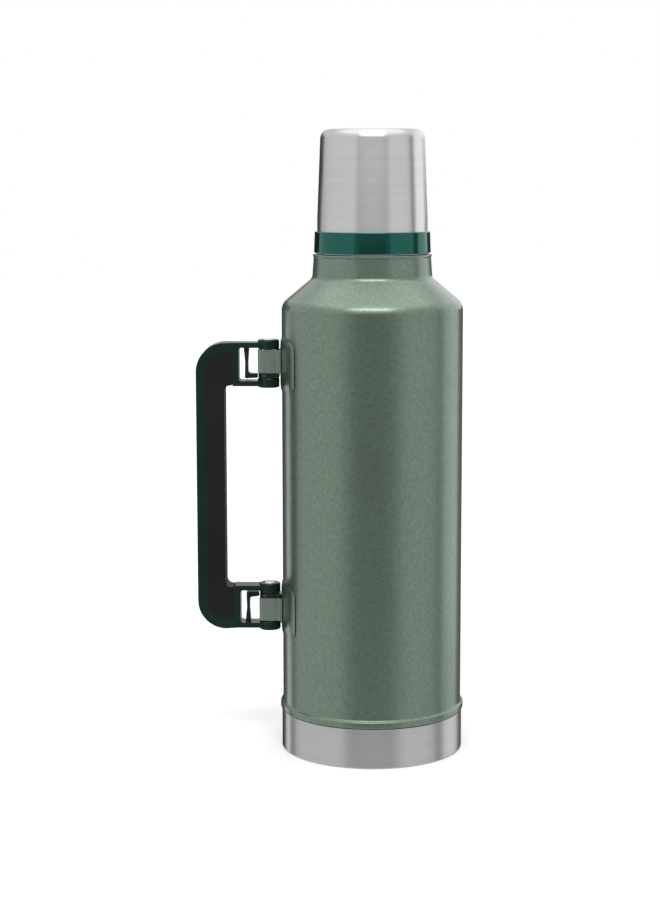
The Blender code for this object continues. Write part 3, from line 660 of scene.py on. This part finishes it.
def makePlug():
    low, high = sizeOf("stopper_plug")
    gasketLow, gasketHigh = sizeOf("stopper_gasket")
    grooveLow, grooveHigh = gasketLow.z - 0.3, gasketHigh.z + 0.3
    bore, plug, plugLow = stopper["bore"], stopper["plug"], stopper["plugLow"]
    corners = [
        (bore, low.z), (plugLow, low.z, 0.3), (plugLow, grooveLow, 0.2),
        (stopper["groove"], grooveLow), (stopper["groove"], grooveHigh),
        (plugLow, grooveHigh, 0.2), (plugLow, 329.5), (plug, 330.5),
        (plug, stopper["flangeLow"], 0.4), (stopper["flange"], stopper["flangeLow"], 0.5),
        (stopper["flange"], high.z, 0.9), (bore, high.z, 0.2),
    ]
    thread = {
        "footRadius": plug - 0.45, "crestRadius": plug + 1.9, "start": 335.0, "pitch": 5.0,
        "turns": 2.0, "footWidth": 2.4, "crestWidth": 1.0,
    }
    pour = {"half": 6, "deep": 0.8, "low": 329, "high": stopper["flangeLow"] - 1.5}
    bm = combined(turned(corners), ridge(thread), "UNION")
    for side in (-1, 1):
        across = sorted((side * (plug - pour["deep"]), side * (plug + 6)))
        channel = block(
            (across[0], -pour["half"], pour["low"]), (across[1], pour["half"], pour["high"])
        )
        bm = combined(bm, softened(channel, 1.0), "DIFFERENCE")
    piece(bm, "stopperPlug", "stopper_plug")


def makeKnob():
    low, high = sizeOf("stopper_knob")
    seat = sizeOf("stopper_plug")[1].z + 0.3
    side, spigot = high.x, stopper["spigot"]
    corners = [
        (0, low.z), (spigot, low.z, 0.4), (spigot, seat), (side - 0.6, seat, 0.4),
        (side, seat + 1.0), (side - 0.9, high.z, 2.2), (side - 8, high.z, 3.0),
        (side - 10, high.z - stopper["dish"], 2.0), (0, high.z - stopper["dish"]),
    ]
    bm = turned(corners, False)
    for v in bm.verts:
        across = Vector((v.co.x, v.co.y, 0))
        inward = across.length - side + stopper["fluteReach"]
        if inward > 0 and v.co.z > seat - 0.01:
            turn = cos(stopper["flutes"] * across.angle(Vector((1, 0, 0))))
            deep = stopper["fluteDepth"] * ((1 - turn) / 2) ** 1.5
            v.co -= across.normalized() * deep * min(1, inward / stopper["fluteFade"])
    piece(bm, "stopperKnob", "stopper_knob")


def makeCover():
    low, high = sizeOf("stopper_cover")
    step = sizeOf("stopper_plug")[0].z - 0.3
    side, inner = high.x, stopper["spigot"]
    corners = [
        (0, high.z), (inner, high.z, 0.3), (inner, step), (side, step, 0.2),
        (side, step - 2.2, 0.8), (side - 2.0, step - 3.6, 1.0), (16, low.z + 0.25, 0.6),
        (15.2, low.z, 0.4), (0, low.z),
    ]
    piece(turned(corners, False), "stopperCover", "stopper_cover")


makePlug()
makeKnob()
makeCover()
makeSealRing("stopperGasket", "stopper_gasket", 25.7, 0.9)
print("stopper made")

# Handle; heights are above or below its middle, and the lower hinge mirrors the upper one

frameLow, frameHigh = sizeOf("handle_frame")
handle = {
    "middle": (frameLow.z + frameHigh.z) / 2, "out": frameLow.x, "corner": 19.0, "top": 95.35,
    "spine": -109.2, "gripTop": 88.75, "postOut": -91.9, "postIn": -87.5, "barLow": 91.95,
    "lowerBarHigh": 70.05, "lowerBarLow": 66.75, "armDepth": 6.5, "gripDepth": 9.0,
    "swell": 12.0, "swellSteps": 9, "edge": 1.6, "window": 1.6, "gap": 0.03,
}
hinge = {
    "pin": frameHigh.x - 7.1, "ear": 7.1, "earHigh": (90.9, 97.15), "earLow": (65.55, 72.15),
    "pinRadius": 2.0, "bore": 2.35, "head": 3.9, "tail": 3.2, "room": 0.4, "recess": 1.2,
    "camRadius": 7.0,
    "cam": (72.45, 74.95), "strap": (75.35, 90.55), "notch": (1.2, 4.2), "fold": 95,
}


def halfDepth(x):
    way = min(1, max(0, (handle["postIn"] - x) / handle["swell"]))
    way = way * way * (3 - 2 * way)
    return handle["armDepth"] + (handle["gripDepth"] - handle["armDepth"]) * way


def bothHalves(corners):
    return corners + [(x, -z, *r) for x, z, *r in reversed(corners)]


def handleBody(corners, edge, extra=0.0):
    # an outline with the handle's depth, slim at the arms and full at the grip
    bm = outlined(corners, -1, 1)
    for step in range(handle["swellSteps"]):
        x = handle["postIn"] - handle["swell"] * (step + 0.5) / handle["swellSteps"]
        bmesh.ops.bisect_plane(
            bm, geom=bm.verts[:] + bm.edges[:] + bm.faces[:], plane_co=(x, 0, 0),
            plane_no=(1, 0, 0), dist=0.0001,
        )
    for v in bm.verts:
        v.co.y = (halfDepth(v.co.x) + extra) * (1 if v.co.y > 0 else -1)
    softened(bm, edge, 4, 60, lambda e: e.verts[0].co.y * e.verts[1].co.y > 0)
    bmesh.ops.translate(bm, verts=bm.verts, vec=(0, 0, handle["middle"]))
    return bm


def hingeTurned(sign, corners, steps=None):
    # (radius, height above the middle, radius of the corner) about the hinge's axis
    placed = [(r, handle["middle"] + sign * z, *more) for r, z, *more in corners]
    return turned(placed, False, steps or fine["smallSteps"], (hinge["pin"], 0))


def headAndTail(sign):
    # the pins go in from above, so the head is on the upper ear of both hinges
    high, low = hinge["earHigh"][1], hinge["earLow"][0]
    return (high, low) if sign > 0 else (low, high)


def makeFrame():
    h, edge, r = handle, handle["edge"], handle["window"]
    inner = h["corner"] - (h["spine"] - h["out"])
    upper = [
        (h["spine"], h["gripTop"], inner), (h["postOut"], h["gripTop"], 0.8),
        (h["postOut"], h["lowerBarLow"], 1.4), (hinge["pin"], h["lowerBarLow"]),
        (hinge["pin"], h["lowerBarHigh"]), (h["postIn"], h["lowerBarHigh"], r),
        (h["postIn"], h["barLow"], r), (hinge["pin"], h["barLow"]), (hinge["pin"], h["top"]),
        (h["out"], h["top"], h["corner"]),
    ]
    bm = handleBody(bothHalves(upper), edge)
    for sign in (1, -1):
        for low, high in (hinge["earHigh"], hinge["earLow"]):
            ear = [(0, high), (hinge["ear"], high, 1.1), (hinge["ear"], low, 1.1), (0, low)]
            bm = combined(bm, hingeTurned(sign, ear), "UNION")
        head, tail = headAndTail(sign)
        deep, bore = sign * hinge["recess"], hinge["bore"]
        headRoom, tailRoom = hinge["head"] + hinge["room"], hinge["tail"] + hinge["room"]
        hole = [
            (0, head + sign), (headRoom, head + sign), (headRoom, head - deep),
            (bore, head - deep), (bore, tail + deep), (tailRoom, tail + deep),
            (tailRoom, tail - sign), (0, tail - sign),
        ]
        bm = combined(bm, hingeTurned(sign, hole), "DIFFERENCE")
    piece(bm, "handleFrame", "handle_frame")


def makeGrip():
    h, gap = handle, handle["gap"]
    grip = {"fingerSide": -97.0, "foot": 67.4, "edge": 2.2, "proud": 0.25, "fillet": 3.7}
    corner = h["corner"] - (h["spine"] - h["out"]) - gap
    upper = [
        (grip["fingerSide"], grip["foot"], grip["fillet"]),
        (h["postOut"] - gap, grip["foot"], 0.6), (h["postOut"] - gap, h["gripTop"] - gap, 0.8),
        (h["spine"] + gap, h["gripTop"] - gap, corner),
    ]
    bm = handleBody(bothHalves(upper), grip["edge"], grip["proud"])
    piece(bm, "gripInsert", "grip_insert")


def makeSaddle(place):
    low, high = sizeOf(f"{place}_saddle")
    saddle = {
        "lip": 0.3, "rise": 0.4, "slope": 3.6, "radius": 59.75, "halfAngle": radians(33),
        "corner": 6.0, "edge": 1.6, "bends": 16,
    }
    half, bends = saddle["radius"] * saddle["halfAngle"], saddle["bends"]
    corners = [
        (-half, low.z, saddle["corner"]), (half, low.z, saddle["corner"]),
        (half, high.z, saddle["corner"]), (-half, high.z, saddle["corner"]),
    ]
    bm = facedOut(outlined(corners, 0, saddle["lip"]))
    top = max(bm.faces, key=lambda f: f.calc_center_median().y)
    bmesh.ops.inset_region(
        bm, faces=[top], thickness=saddle["slope"], depth=saddle["rise"], use_even_offset=True
    )
    softened(bm, saddle["edge"], 4, 3, lambda e: all(v in top.verts for v in e.verts))
    for step in range(-bends, bends + 1):
        x = half * step / (bends + 1)
        bmesh.ops.bisect_plane(
            bm, geom=bm.verts[:] + bm.edges[:] + bm.faces[:], plane_co=(x, 0, 0),
            plane_no=(1, 0, 0), dist=0.0001,
        )
    for v in bm.verts:
        turn, radius = v.co.x / saddle["radius"], saddle["radius"] + v.co.y
        v.co = (-radius * cos(turn), radius * sin(turn), v.co.z)
    piece(bm, f"{place}Saddle", f"{place}_saddle")


def makeStrap(place):
    low, high = sizeOf(f"{place}_strap")
    strap = {
        "side": 6.8, "wall": 1.2, "foot": 13.0, "root": -61.35, "bend": 2.0, "edge": 0.3,
        "footOuter": 61.65, "footInner": 60.85,
    }
    side, wall, back = strap["side"], strap["wall"], low.x
    outer, inner = strap["footOuter"], strap["footInner"]
    turnOut, turnIn = asin(strap["foot"] / outer), asin((strap["foot"] - 0.2) / inner)
    half = [
        (back, side, strap["bend"]), (strap["root"], side, 1.2),
        (-outer * cos(turnOut), strap["foot"], 0.25),
        (-inner * cos(turnIn), strap["foot"] - 0.2, 0.25), (-60.5, side - wall, 0.3),
        (back + wall, side - wall, strap["bend"] - wall),
    ]
    corners = half + [(x, -y, *r) for x, y, *r in reversed(half)]
    bm = softened(outlined(corners, low.z, high.z, "XY"), strap["edge"], 2)
    # the strap takes the lit copy of the body's enamel, which is painted light
    piece(bm, f"{place}Strap", f"{place}_strap", "strap_enamel_painted_light")


def makeHingeBlock(sign, place):
    low = sizeOf(f"{place}_strap")[0]
    body = {"room": 1.8, "half": 4.8, "intoCam": 0.5, "edge": 0.4}
    half = body["half"]
    camLow, camHigh = hinge["cam"]
    near, far = sorted(
        handle["middle"] + sign * z for z in (camHigh - body["intoCam"], hinge["strap"][1] - 0.3)
    )
    back = low.x + body["room"]
    bm = softened(block((back, -half, near), (2 * hinge["pin"] - back, half, far)), body["edge"])
    camR = hinge["camRadius"]
    cam = [(0, camHigh), (camR, camHigh, 0.35), (camR, camLow, 0.35), (0, camLow)]
    bm = combined(bm, hingeTurned(sign, cam), "UNION")
    shoe = {"reach": -60.9, "half": 5.6, "inset": 0.03}
    under, over = sorted(
        handle["middle"] + sign * z for z in (camLow + shoe["inset"], camHigh - shoe["inset"])
    )
    foot = block((hinge["pin"], -shoe["half"], under), (shoe["reach"], shoe["half"], over))
    bm = combined(bm, softened(foot, 0.3), "UNION")
    deep, wide = hinge["notch"]
    for turn in (-hinge["fold"], 0, hinge["fold"]):
        notch = softened(block((-camR - 2, -wide / 2, -3), (-camR + deep, wide / 2, 3)), 0.4)
        bmesh.ops.rotate(
            notch, verts=notch.verts, cent=(0, 0, 0), matrix=Matrix.Rotation(radians(turn), 3, "Z")
        )
        middle = handle["middle"] + sign * (camLow + camHigh) / 2
        bmesh.ops.translate(notch, verts=notch.verts, vec=(hinge["pin"], 0, middle))
        bm = combined(bm, notch, "DIFFERENCE")
    bore = hingeTurned(sign, [(0, 93), (hinge["bore"], 93), (hinge["bore"], 70), (0, 70)])
    bm = combined(bm, bore, "DIFFERENCE")
    piece(bm, f"{place}HingeBlock", f"{place}_hinge_block")


def makePin(sign, place):
    head, tail = headAndTail(sign)
    up, deep, rest = sign, sign * hinge["recess"], sign * 0.3
    seat, foot = head - deep + rest, tail + deep - rest
    corners = [
        (0, head + 0.55 * up), (1.4, head + 0.5 * up, 1.0), (hinge["head"], head + 0.1 * up, 0.9),
        (hinge["head"], seat, 0.2), (hinge["pinRadius"], seat), (hinge["pinRadius"], foot),
        (hinge["tail"], foot, 0.2), (hinge["tail"], foot - 0.6 * up, 0.4), (0, foot - 0.7 * up),
    ]
    piece(hingeTurned(sign, corners), f"{place}Pin", f"{place}_pin")


def makeFinger(sign, place):
    finger = {
        "root": -82.6, "top": 91.65, "waist": 82.0, "heel": -79.6, "half": 3.4,
        "slimFrom": -78.0, "slim": 0.47, "clear": 0.1,
    }
    root, top, waist = finger["root"], finger["top"], finger["waist"]
    camLow, camHigh = hinge["cam"]
    nose = hinge["pin"] - hinge["camRadius"] - finger["clear"]
    footLow, footHigh = camLow - 0.9, camHigh - 0.2
    upper = [
        (root - 1.75, top), (root - 0.85, waist, 4.0), (root - 1.15, footLow, 0.8),
        (nose, footLow + 0.3, 0.6), (nose, footHigh, 0.5),
        (finger["heel"], footHigh + 0.05, 1.0), (root + 1.2, footHigh + 0.9, 1.0),
        (root + 1.05, waist, 4.0), (root + 1.75, top),
    ]
    bm = outlined([(x, sign * z, *r) for x, z, *r in upper], -finger["half"], finger["half"])
    for v in bm.verts:
        if v.co.x > finger["slimFrom"]:
            v.co.y *= finger["slim"]
    softened(bm, 0.3, 2)
    bmesh.ops.translate(bm, verts=bm.verts, vec=(0, 0, handle["middle"]))
    piece(bm, f"{place}DetentFinger", f"{place}_detent_finger")


makeFrame()
makeGrip()
for sign, place in ((1, "upper"), (-1, "lower")):
    makeSaddle(place)
    makeStrap(place)
    makeHingeBlock(sign, place)
    makePin(sign, place)
    makeFinger(sign, place)
print("handle made")

# the inner pieces keep their CAD shape and take a finish
for node in ("vacuum_base", "evacuation_plug", "getter", "stopper_core"):
    for slot in frame["nodes"][node].material_slots:
        slot.material = looks[slotOf[node]]


# Stage

studio = {
    "side": 0.8, "ceiling": 1.6, "ceilingEdge": (0.62, 0.82), "backdrop": 1.0,
    "cardRadius": 2.3, "cardSteps": 24, "floorReach": 6,
    # degrees from the front at both ends, positive to the right, then foot, head and brightness
    "cards": (
        (-33, 33, -1.6, -0.5, 0.45), (-26, 26, -0.5, 0.42, 0.2),
        (-36, -26, -0.5, 0.42, 0.42), (26, 36, -0.5, 0.42, 0.42), (-33, 33, 0.42, 1.2, 0.42),
        (-128, -115, -1.6, 0.12, 0.12), (-140, -128, -1.6, 0.12, 1.5),
        (-168, -140, -1.6, 0.12, 0.03), (-168, -129, 0.12, 0.9, 0.03),
        (88, 101, -1.6, 1.4, 0.25), (101, 138, -1.6, -0.5, 0.9), (101, 138, -0.5, 1.8, 1.2),
        (138, 165, -1.6, 0.4, 0.05), (138, 165, 0.4, 1.8, 1.2),
    ),
    "front": {"place": (0.0, -1.05, 1.45), "size": (1.2, 0.26), "watts": 7.5},
    "floor": 0.95,
}


def makeCard(number, start, end, low, high, level):
    # seen only in reflections
    bm = bmesh.new()
    foot = bm.verts.new((0, -studio["cardRadius"], low))
    head = bm.verts.new((0, -studio["cardRadius"], high))
    edge = bm.edges.new((foot, head))
    bmesh.ops.rotate(
        bm, verts=bm.verts, cent=(0, 0, 0), matrix=Matrix.Rotation(radians(start), 3, "Z")
    )
    bmesh.ops.spin(
        bm, geom=[edge, foot, head], cent=(0, 0, 0), axis=(0, 0, 1),
        angle=radians(end - start), steps=studio["cardSteps"],
    )
    mesh = bpy.data.meshes.new(f"card{number}")
    bm.to_mesh(mesh)
    bm.free()
    card = bpy.data.objects.new(f"card{number}", mesh)
    scene.collection.objects.link(card)
    material = bpy.data.materials.new(f"cardGrey{number}")
    material.use_nodes = True
    shader = material.node_tree.nodes["Principled BSDF"]
    shader.inputs["Base Color"].default_value = (0, 0, 0, 1)
    shader.inputs["Specular IOR Level"].default_value = 0
    shader.inputs["Emission Color"].default_value = (level, level, level, 1)
    shader.inputs["Emission Strength"].default_value = 1
    mesh.materials.append(material)
    card.visible_camera = False
    card.visible_diffuse = False
    card.visible_shadow = False


def makeFloor():
    bm = bmesh.new()
    bmesh.ops.create_grid(bm, x_segments=2, y_segments=2, size=studio["floorReach"])
    mesh = bpy.data.meshes.new("floor")
    bm.to_mesh(mesh)
    bm.free()
    floor = bpy.data.objects.new("floor", mesh)
    scene.collection.objects.link(floor)
    material = bpy.data.materials.new("paleFloor")
    material.use_nodes = True
    shader = material.node_tree.nodes["Principled BSDF"]
    shader.inputs["Base Color"].default_value = (*[studio["floor"]] * 3, 1)
    shader.inputs["Roughness"].default_value = 1
    shader.inputs["Specular IOR Level"].default_value = 0
    mesh.materials.append(material)
    floor.visible_glossy = False  # cards and room go on below it in reflections


def makeLights():
    # a pale room with a broad bright ceiling; the camera sees a plain white backdrop
    world = bpy.data.worlds.new("studio")
    world.use_nodes = True
    tree = world.node_tree
    way = addNode(tree, "ShaderNodeTexCoord").outputs["Generated"]
    up = addNode(tree, "ShaderNodeSeparateXYZ", {0: way}).outputs["Z"]
    room = ranged(tree, up, *studio["ceilingEdge"], studio["side"], studio["ceiling"])
    seen = addNode(tree, "ShaderNodeLightPath").outputs["Is Camera Ray"]
    inputs = {"Factor": seen, "A": room, "B": studio["backdrop"]}
    strength = addNode(tree, "ShaderNodeMix", inputs, data_type="FLOAT").outputs[0]
    sky = tree.nodes["Background"]
    sky.inputs["Color"].default_value = (1, 1, 1, 1)
    link(tree, strength, sky.inputs["Strength"])
    scene.world = world
    lamp = bpy.data.lights.new("front", "AREA")
    lamp.shape = "RECTANGLE"
    lamp.size, lamp.size_y = studio["front"]["size"]
    lamp.energy = studio["front"]["watts"]
    box = bpy.data.objects.new("front", lamp)
    box.location = studio["front"]["place"]
    aim = Vector((0, 0, 0.3)) - box.location
    box.rotation_euler = aim.to_track_quat("-Z", "Y").to_euler()
    scene.collection.objects.link(box)


def makeCamera():
    view = {
        "place": (0, -1.2955, 0.3831), "down": 8.055, "turn": 1.232, "roll": -0.09,
        "lens": 79.08, "sensor": 36, "nearest": 0.05,
    }
    data = bpy.data.cameras.new("camera")
    data.lens = view["lens"]
    data.sensor_width = view["sensor"]
    data.clip_start = view["nearest"]
    camera = bpy.data.objects.new("camera", data)
    camera.location = view["place"]
    tilt = Matrix.Rotation(radians(90 - view["down"]), 3, "X")
    roll = Matrix.Rotation(radians(view["roll"]), 3, "Z")
    turn = Matrix.Rotation(radians(view["turn"]), 3, "Z")
    camera.rotation_euler = (turn @ tilt @ roll).to_euler()
    scene.collection.objects.link(camera)
    scene.camera = camera


for number, card in enumerate(studio["cards"]):
    makeCard(number, *card)
makeFloor()
makeLights()
makeCamera()
scene.view_settings.view_transform = "Standard"
print("stage made")
